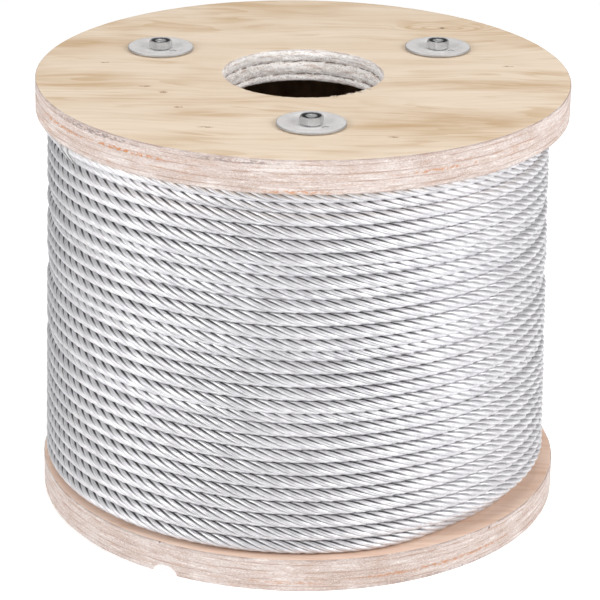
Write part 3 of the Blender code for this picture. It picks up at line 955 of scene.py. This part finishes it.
def rim_pushes(rows, above, angle, low):
    """How far each point of the rim moves out from the axis."""
    push = noise_values(rows, ROUGHNESS_SCALE) * RIM_ROUGHNESS
    for line in PLY_HEIGHTS:
        push -= PLY_GROOVE * np.exp(-(((above - line) / PLY_GROOVE_WIDTH) ** 2))
    if low < CHIP_HEIGHT:
        round_rim = (angle - math.radians(CHIP_DEGREES)) * RIM_RADIUS
        off_chip = np.hypot(round_rim / CHIP_LENGTH, above / CHIP_HEIGHT)
        push -= CHIP_DEPTH * np.clip((1 - off_chip) / CHIP_SLOPE, 0, 1)
    return push


def bore_pushes(rows, above, angle, thickness):
    """How far each point of the bore moves out from the axis."""
    joints = [0.0, *ROLL_JOINTS, thickness]
    wandering = above + noise_values(rows * (1, 1, 0), ROLL_WANDER_SCALE) * ROLL_WANDER
    roll = np.zeros_like(above)
    for start, end in zip(joints, joints[1:]):
        share = (wandering - start) / (end - start)
        bulge = np.abs(np.sin(share * math.pi)) ** ROLL_FULLNESS
        roll = np.where((share >= 0) & (share <= 1), bulge, roll)
    at_ends = np.minimum(above, thickness - above) / EDGE_ROUNDING
    push = BORE_ROLL * (ROLL_MIDDLE - roll) * np.clip(at_ends, 0, 1)
    push -= noise_values(rows * (1, 1, BORE_FINER), ROUGHNESS_SCALE * BORE_FINER) * BORE_ROUGHNESS
    at_mouth = np.clip(1 - (thickness - above) / SPLINTER_DEPTH, 0, 1)
    splintered = (angle > SPLINTER_FROM) & (angle < SPLINTER_TO)
    spikes = np.clip(noise_values(rows * (1, 1, 0), SPLINTER_SCALE), 0, 1)
    return push - SPLINTER_LENGTH * spikes * at_mouth * splintered


print("pushes are worked out for", len(PLY_HEIGHTS), "grooves and", len(ROLL_JOINTS) + 1, "rolls")

# %% [markdown]
# ## Flanges
#
# A flange is turned like the rest, from a profile that runs up its rim, in over its top face, down
# the spindle bore and out under it. It could be a cylinder with a hole cut by a Boolean, but then
# its points wouldn't lie in rows, and the pushes and the UV map need them there. Its three finishes
# go by the rows of faces.

# %% Flange meshes
FLANGE_SIDES = 720
RIM_POINTS = 30
BORE_POINTS = 34
FACE_POINTS = 12
FACE_MARGIN = 0.004
SPINDLE_RADIUS = 0.038
RIM_BAND = 0.002
BORE_BAND = 0.0012


def rounded_corner(radius, height, out, up, size, steps=4):
    """Points of a quarter circle at a corner. out and up say on which side the corner lies."""
    points = []
    for step in range(steps + 1):
        angle = step / steps * math.pi / 2
        inset = out * size * (1 - math.cos(angle))
        drop = up * size * (1 - math.sin(angle))
        points.append((radius - inset, height - drop))
    return points


def make_flange(name, node):
    low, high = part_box(node)
    low, high = low.z, high.z
    bottom_corner = rounded_corner(RIM_RADIUS, low, 1, -1, EDGE_ROUNDING)[::-1]
    top_corner = rounded_corner(RIM_RADIUS, high, 1, 1, EDGE_ROUNDING)
    straight = (low + EDGE_ROUNDING, high - EDGE_ROUNDING)
    rim = [(RIM_RADIUS, z) for z in np.linspace(*straight, RIM_POINTS)[1:-1]]
    face_radii = np.linspace(RIM_RADIUS - FACE_MARGIN, SPINDLE_RADIUS + FACE_MARGIN, FACE_POINTS)
    top_face = [(radius, high) for radius in face_radii]
    bore_top = rounded_corner(SPINDLE_RADIUS, high, -1, 1, EDGE_ROUNDING)[::-1]
    bore = [(SPINDLE_RADIUS, z) for z in np.linspace(*straight[::-1], BORE_POINTS)[1:-1]]
    bore_bottom = rounded_corner(SPINDLE_RADIUS, low, -1, -1, EDGE_ROUNDING)
    under_face = [(radius, low) for radius in face_radii[::-1]]
    profile = bottom_corner + rim + top_corner + top_face + bore_top + bore + bore_bottom + under_face
    rows = turned(profile, FLANGE_SIDES)

    above = rows[..., 2] - low
    radius = np.hypot(rows[..., 0], rows[..., 1])
    angle = np.arctan2(rows[..., 1], rows[..., 0])
    rim_push = np.where(radius > RIM_RADIUS - RIM_BAND, rim_pushes(rows, above, angle, low), 0)
    in_bore = radius < SPINDLE_RADIUS + BORE_BAND
    bore_push = np.where(in_bore, bore_pushes(rows, above, angle, high - low), 0)
    rows[..., :2] *= ((radius + rim_push + bore_push) / radius)[..., None]

    heights = np.array(profile)[:, 1] - low
    mesh = mesh_from_rows(name, rows, close_rows=True, uv_rows=heights)
    flange = add_piece(name, mesh, face_material, node)
    mesh.materials.append(edge_material)
    mesh.materials.append(bore_material)
    rim_rows = len(bottom_corner) + len(rim) + len(top_corner)
    bore_start = rim_rows + len(top_face) + 1
    bore_end = bore_start + len(bore_top) + len(bore) + len(bore_bottom) - 2
    finish = np.zeros(len(profile), np.int32)
    finish[: rim_rows - 2] = 1
    finish[bore_start:bore_end] = 2
    mesh.polygons.foreach_set("material_index", np.repeat(finish, FLANGE_SIDES))
    return flange


flanges = [make_flange(f"{node}_plywood", node) for node in ("top_flange", "bottom_flange")]

# %% [markdown]
# ## Drum
#
# The drum is a thick tube of fibreboard. Only its inside could be seen, through the spindle bore,
# so a turned ring of four points is enough, with brown noise for its fibres.

# %% Drum
DRUM_SIDES = 128
DRUM_WALL = 0.004
drum_low, drum_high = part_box("drum")
outer = drum_high.y
inner = outer - DRUM_WALL
drum_material, tree, shader = new_material("drum_fibreboard")
fibres = noise_at(tree, stretched(tree, place_on_object(tree), (120.0, 120.0, 60.0)), 1.0, 4.0, 0.6)
board = mix_colours(tree, remap(tree, fibres, 0.35, 0.65), (0.26, 0.17, 0.10, 1.0), (0.16, 0.10, 0.06, 1.0))
set_sockets(tree, shader, {"Base Color": board, "Roughness": 0.9})
drum_profile = [(outer, drum_low.z), (outer, drum_high.z), (inner, drum_high.z), (inner, drum_low.z)]
drum_rows = turned(drum_profile, DRUM_SIDES, (coil_centre_x, 0.0))
drum_mesh = mesh_from_rows("drum_tube", drum_rows, close_rows=True)
drum_mesh.set_sharp_from_angle(angle=math.radians(40))
add_piece("drum_tube", drum_mesh, drum_material, "drum")

# %% [markdown]
# ## Zinc of the hardware
#
# Three tie bolts go through the reel just inside the drum, each with a wide washer and a nut on top.
# All are zinc plated, but the washers are paler, their punched edges carry a dark outline of painted shade,
# and each has small marks of painted shade beside the corner of its nut. The threads and the nuts' mouths
# are near black, which is painted shade in them. One function makes the three finishes from the shared
# group, because they differ only in a few values.

# %% Zinc of the hardware
NUT_SHADE_REACH = (0.0010, 0.0011, 0.003)
NUT_SHADE_COLOUR = (0.10, 0.10, 0.105, 1.0)
EDGE_SHADE_COLOUR = (0.24, 0.24, 0.24, 1.0)
# Rows of the washer's mesh between which its punched edge lies, which gets a dark outline of painted shade,
# and where that outline is darkest
EDGE_SHADE_ROWS = (21, 29)
DARKEST_WITHIN = 1.5
# Where the marks of painted shade beside each nut are, from a washer's middle
NUT_SHADE_OFFSETS = ((0.0052, -0.0046), (0.0063, -0.0036), (0.0073, -0.0044))
HARDWARE = (1, 2, 3)


def make_zinc(name, pale, dull, metallic, rougher=0.0, nut_shades=(), edge_shade_rows=None):
    material, tree, shader = new_material(name)
    object_place = place_on_object(tree)
    sockets = {"Vector": object_place, "Pale": pale, "Dull": dull, "Grain": 1500.0}
    bloom = use_group(tree, zinc_bloom, sockets)
    tone = bloom["Color"]
    # Small marks of painted shade beside the corner of each nut
    for centre in nut_shades:
        nut_shade = mark(tree, object_place, centre, NUT_SHADE_REACH)
        tone = mix_colours(tree, times(tree, nut_shade["Mask"], 0.8), tone, NUT_SHADE_COLOUR)
    # The washer's rolled edge gets a dark outline of painted shade
    if edge_shade_rows:
        from_edge = distance_from(tree, place_on_sheet(tree)["X"], sum(edge_shade_rows) / 2)
        half_width = (edge_shade_rows[1] - edge_shade_rows[0]) / 2
        edge_shade = remap(tree, from_edge, half_width, DARKEST_WITHIN, 0.0, 0.75)
        tone = mix_colours(tree, edge_shade, tone, EDGE_SHADE_COLOUR)
    zinc_look = {
        "Base Color": tone,
        "Roughness": plus(tree, bloom["Roughness"], rougher),
        "Metallic": metallic,
        "Normal": bumped(tree, bloom["Height"], 0.15, 0.0001),
    }
    set_sockets(tree, shader, zinc_look)
    count_nodes(name, tree)
    return material


nut_shade_places = []
for number in HARDWARE:
    low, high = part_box(f"washer_{number}")
    for off_x, off_y in NUT_SHADE_OFFSETS:
        nut_shade_places.append(((low.x + high.x) / 2 + off_x, (low.y + high.y) / 2 + off_y, high.z))
zinc_material = make_zinc("zinc_hardware", (0.62, 0.62, 0.62, 1.0), (0.45, 0.45, 0.45, 1.0), 0.75)
# Near-black finish that paints the shade in the threads and in the nuts' countersunk mouths
thread_shade_material = make_zinc("painted_thread_shade", (0.07, 0.07, 0.075, 1.0), (0.03, 0.03, 0.03, 1.0), 0.4)
washer_tones = (0.90, 0.88, 0.87, 1.0), (0.74, 0.72, 0.71, 1.0)
washer_material = make_zinc("zinc_washers", *washer_tones, 0.4, 0.12, nut_shade_places, EDGE_SHADE_ROWS)

# %% [markdown]
# ## Washers
#
# Each washer is pressed from sheet, with a slight dish: it rises from its seat under the nut to its
# flat brim, and its edge is rolled by the punch. A disc with a bend could do, but a turned profile
# gives the dish, the even thickness and the round edge in one go.

# %% Washers
WASHER_SIDES = 128
WASHER_THICKNESS = 0.0012
WASHER_HOLE = 0.0034
SEAT_RADIUS = 0.007
DISH_RADIUS = 0.0135
ROLLED_EDGE = 0.0004
DISH_POINTS = 22
EDGE_STEPS = 6


def make_washer(number):
    low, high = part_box(f"washer_{number}")
    centre = (low + high) / 2
    outer = (high.x - low.x) / 2
    dish = high.z - low.z - WASHER_THICKNESS
    radii = np.linspace(WASHER_HOLE, outer - 2 * ROLLED_EDGE, DISH_POINTS)
    rise = dish * smooth_step((radii - SEAT_RADIUS) / (DISH_RADIUS - SEAT_RADIUS))
    profile = list(zip(radii, low.z + rise))
    brim = low.z + dish + WASHER_THICKNESS / 2
    for step in range(EDGE_STEPS + 1):
        angle = (step / EDGE_STEPS - 0.5) * math.pi
        radius = outer - ROLLED_EDGE * (1 - math.cos(angle))
        profile.append((radius, brim + math.sin(angle) * WASHER_THICKNESS / 2))
    profile += list(zip(radii[::-1], low.z + WASHER_THICKNESS + rise[::-1]))
    rows = turned(profile, WASHER_SIDES, centre)
    mesh = mesh_from_rows(f"pressed_washer_{number}", rows, close_rows=True)
    mesh.set_sharp_from_angle(angle=math.radians(50))
    add_piece(f"pressed_washer_{number}", mesh, washer_material, f"washer_{number}")
    return centre


print("washers: a dish of", DISH_POINTS, "points and an edge of", EDGE_STEPS + 1)

# %% [markdown]
# ## Nuts
#
# A hexagon nut has flat sides, corners that are turned off above and below, and a countersunk mouth.
# It could be a six-sided cylinder with a bevel, but the turned-off corners are curved. So it is a
# turned shape too, with a radius that changes with the angle: the distance to the nearest flat side.
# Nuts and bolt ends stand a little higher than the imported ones, as tall as the real ones look.

# %% Nuts
NUT_SIDES = 144
NUT_CORNER_TURN = math.radians(15)
NUT_BORE = 0.00306
NUT_MOUTH = 0.0045
MOUTH_EDGE = 0.0002
MOUTH_DEPTH = 0.0014
NUT_PROUD = 0.0008
CORNER_TURNED_OFF = 0.0009
FACE_SHARE = 0.98
BORE_START = 0.0005


def make_nut(number, centre):
    low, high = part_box(f"nut_{number}")
    high.z += NUT_PROUD
    flats = (high.x - low.x) / 2
    angle = np.arange(NUT_SIDES) / NUT_SIDES * TURN
    to_corner = (angle - NUT_CORNER_TURN + TURN / 12) % (TURN / 6) - TURN / 12
    side = flats / np.cos(TURN / 12 - np.abs(to_corner))
    face = np.full(NUT_SIDES, flats * FACE_SHARE)
    whole_fall = flats * (1 / math.cos(TURN / 12) - FACE_SHARE)
    fall = np.clip(side - face, 0, None) * CORNER_TURNED_OFF / whole_fall
    flat = np.ones(NUT_SIDES)
    rings = [
        (flat * NUT_MOUTH, low.z * flat),
        (face, low.z * flat),
        (side, low.z + fall),
        (side, high.z - fall),
        (face, high.z * flat),
        (flat * (NUT_MOUTH + MOUTH_EDGE), high.z * flat),
        (flat * NUT_MOUTH, (high.z - MOUTH_EDGE) * flat),
        (flat * NUT_BORE, (high.z - MOUTH_DEPTH) * flat),
        (flat * NUT_BORE, (low.z + BORE_START) * flat),
    ]
    rows = [
        np.stack([centre.x + radius * np.cos(angle), centre.y + radius * np.sin(angle), z], axis=-1)
        for radius, z in rings
    ]
    mesh = mesh_from_rows(f"hexagon_nut_{number}", np.stack(rows), close_rows=True)
    mesh.set_sharp_from_angle(angle=math.radians(20))
    add_piece(f"hexagon_nut_{number}", mesh, zinc_material, f"nut_{number}")
    # The nut's mouth and bore take the near-black finish, painted shade in the countersink and thread
    mesh.materials.append(thread_shade_material)
    shaded_rings = np.repeat([0, 0, 0, 0, 0, 0, 1, 1, 1], NUT_SIDES)
    mesh.polygons.foreach_set("material_index", shaded_rings.astype(np.int32))


print("nuts: corners turned off by", CORNER_TURNED_OFF * 1000, "mm")

# %% [markdown]
# ## Bolts
#
# A bolt has a wide flat head below, a plain shank, and a thread at its upper end. A screw modifier
# could wind a thread, but it leaves open ends. Here the bolt is turned, and the cut of the thread is
# a wave that moves round it by one pitch a turn, which is the same helix in one closed mesh.

# %% Bolts
THREAD_PITCH = 0.001
THREAD_DEPTH = 0.0005
THREAD_LENGTH = 0.012
STEPS_PER_PITCH = 8
BOLT_SIDES = 48
BOLT_RADIUS = 0.003
BOLT_HEAD_HEIGHT = 0.002
# Points of the head's edge: how far in from its radius, and how high
HEAD_EDGE = ((0.0008, 0.0005), (0.0, 0.0011), (0.0003, BOLT_HEAD_HEIGHT))
HEAD_FLAT_SHARE = 0.7
HEAD_FLAT_RISE = 0.0001
END_FACE_INSET = 0.0002
END_FACE_DROP = 0.00005
END_CHAMFER = 0.0006
END_SUNK = 0.0006
END_TILT = 0.12


def make_bolt(number, centre):
    low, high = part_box(f"tie_bolt_{number}")
    head_radius = (high.x - low.x) / 2
    high.z += NUT_PROUD - END_SUNK
    thread_from = high.z - THREAD_LENGTH
    heights = np.arange(thread_from, high.z - END_FACE_INSET, THREAD_PITCH / STEPS_PER_PITCH)
    profile = [(0.0, low.z), (head_radius * HEAD_FLAT_SHARE, low.z + HEAD_FLAT_RISE)]
    profile += [(head_radius - inset, low.z + rise) for inset, rise in HEAD_EDGE]
    profile += [(BOLT_RADIUS, low.z + BOLT_HEAD_HEIGHT), (BOLT_RADIUS, thread_from - THREAD_PITCH)]
    plain = len(profile)
    profile += [(BOLT_RADIUS, z) for z in heights]
    end_face = (BOLT_RADIUS - END_CHAMFER - END_FACE_INSET, high.z - END_FACE_DROP)
    profile += [end_face, (0.0, high.z)]
    rows = turned(profile, BOLT_SIDES)
    share_of_turn = np.arange(BOLT_SIDES) / BOLT_SIDES
    wave = (heights[:, None] / THREAD_PITCH - share_of_turn[None, :]) % 1.0
    cut_depth = THREAD_DEPTH * np.abs(wave * 2 - 1)
    near_end = np.clip((heights[:, None] - (high.z - END_CHAMFER)) / END_CHAMFER, 0, 1)
    cut_depth = np.maximum(cut_depth, near_end * END_CHAMFER)
    threaded = slice(plain, plain + len(heights))
    rows[threaded, :, :2] *= ((BOLT_RADIUS - cut_depth) / BOLT_RADIUS)[..., None]
    rows[-2:, :, 2] -= END_TILT * (rows[-2:, :, 0] + rows[-2:, :, 1] + BOLT_RADIUS)
    rows[..., :2] += centre.xy
    mesh = mesh_from_rows(f"threaded_bolt_{number}", rows)
    mesh.set_sharp_from_angle(angle=math.radians(50))
    add_piece(f"threaded_bolt_{number}", mesh, zinc_material, f"tie_bolt_{number}")
    # The thread takes the near-black finish, painted shade in its grooves
    mesh.materials.append(thread_shade_material)
    on_thread = np.zeros((len(rows) - 1, BOLT_SIDES), np.int32)
    on_thread[plain : plain + len(heights) - 1] = 1
    mesh.polygons.foreach_set("material_index", on_thread.ravel())


bolt_places = []
for number in HARDWARE:
    centre = make_washer(number)
    make_nut(number, centre)
    make_bolt(number, centre)
    bolt_places.append(centre)

# %% [markdown]
# ## Sinkings for the bolts' heads
#
# Under the reel, the bolts' wide heads are sunk in the wood so that the reel stands flat. The lower
# flange gets a round pocket for each, cut with the Boolean modifier, which is the plain way to take
# one shape out of another. The cut is applied at once, so the flange keeps a mesh of its own.

# %% Pockets in the lower flange
POCKET_ROOM = 0.0003
POCKET_SIDES = 96
POCKET_START = -0.001
lower_flange = flanges[1]
for number, centre in zip(HARDWARE, bolt_places):
    head_low, head_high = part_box(f"tie_bolt_{number}")
    radius = (head_high.x - head_low.x) / 2 + POCKET_ROOM
    top = head_low.z + BOLT_HEAD_HEIGHT + POCKET_ROOM
    profile = [(0.0, POCKET_START), (radius, POCKET_START), (radius, top), (0.0, top)]
    pocket_mesh = mesh_from_rows("pocket", turned(profile, POCKET_SIDES, centre))
    pocket_mesh.materials.append(edge_material)
    pocket = bpy.data.objects.new("pocket", pocket_mesh)
    bpy.context.scene.collection.objects.link(pocket)
    boolean = lower_flange.modifiers.new("pocket", "BOOLEAN")
    boolean.object = pocket
    boolean.solver = "EXACT"
    bpy.context.view_layer.update()
    evaluated = lower_flange.evaluated_get(bpy.context.evaluated_depsgraph_get())
    cut_mesh = bpy.data.meshes.new_from_object(evaluated)
    lower_flange.modifiers.clear()
    lower_flange.data = cut_mesh
    bpy.data.objects.remove(pocket)
print("lower flange after its pockets:", len(lower_flange.data.polygons), "faces")

# %% [markdown]
# ## The rope's free end
#
# The free end lies on the last turns, at the back of the reel. Wire rope springs open when it is cut,
# so its end is bound with thin wire first, and loops of wire tie it to the turn below. Both could be
# curves with a bevel, and here they are tubes of points like the rope. The binding's path is a helix
# round the rope, and a loop's path goes round the two ropes as a stretched belt would.

# %% Binding and ties
BINDING_WIRE = 0.0009
BINDING_TURNS = 9
BINDING_FROM_END = 0.004
POINTS_PER_WIRE_TURN = 28
WIRE_SIDES = 8
SMALL_STEP = 0.001
TIE_PLACES = (math.radians(10), math.radians(13), math.radians(52), math.radians(55))
wire_reach = PRESSED_RADIUS + BINDING_WIRE / 2


def frame_at(travelled):
    """The rope's place, its direction, and the directions out from the reel and along its height."""
    here, ahead = rope_path(np.array([travelled, travelled + SMALL_STEP]))
    forward = (ahead - here) / np.linalg.norm(ahead - here)
    outward = here - np.array([coil_centre_x, 0, here[2]])
    outward /= np.linalg.norm(outward)
    return here, forward, outward, np.cross(forward, outward)


def add_wire(name, path, closed):
    """A thin wire that follows a path, in a loop or with two ends."""
    around = np.roll(path, -1, axis=0) - np.roll(path, 1, axis=0)
    forward = around if closed else np.gradient(path, axis=0)
    outward, sideways = directions_along(path, forward, path.mean(axis=0))
    angle = (np.arange(WIRE_SIDES) / WIRE_SIDES * TURN)[None, :, None]
    ring = np.cos(angle) * outward[:, None] + np.sin(angle) * sideways[:, None]
    rows = path[:, None] + BINDING_WIRE / 2 * ring
    mesh = mesh_from_rows(name, rows, close_rows=closed, cap_ends=not closed)
    add_piece(name, mesh, zinc_material, "wire_rope_coil")


end_place, end_forward, end_outward, end_up = frame_at(last_travel)
wire_turn = np.linspace(0, BINDING_TURNS * TURN, BINDING_TURNS * POINTS_PER_WIRE_TURN)[:, None]
binding_path = end_place - (BINDING_FROM_END + wire_turn / TURN * BINDING_WIRE) * end_forward
binding_path += wire_reach * (np.cos(wire_turn) * end_outward + np.sin(wire_turn) * end_up)
add_wire("end_binding", binding_path, False)

belt_angle = (np.arange(POINTS_PER_WIRE_TURN * 2) / (POINTS_PER_WIRE_TURN * 2) * TURN)[:, None]
for number, before_end in enumerate(TIE_PLACES, 1):
    here, forward, outward, up = frame_at(last_travel - before_end)
    turn_below = rope_path(np.array([last_travel - before_end - TURN]))[0]
    away = np.cos(belt_angle) * outward + np.sin(belt_angle) * up
    nearer = away @ (turn_below - here) > 0
    add_wire(f"end_tie_{number}", np.where(nearer[:, None], turn_below, here) + wire_reach * away, True)
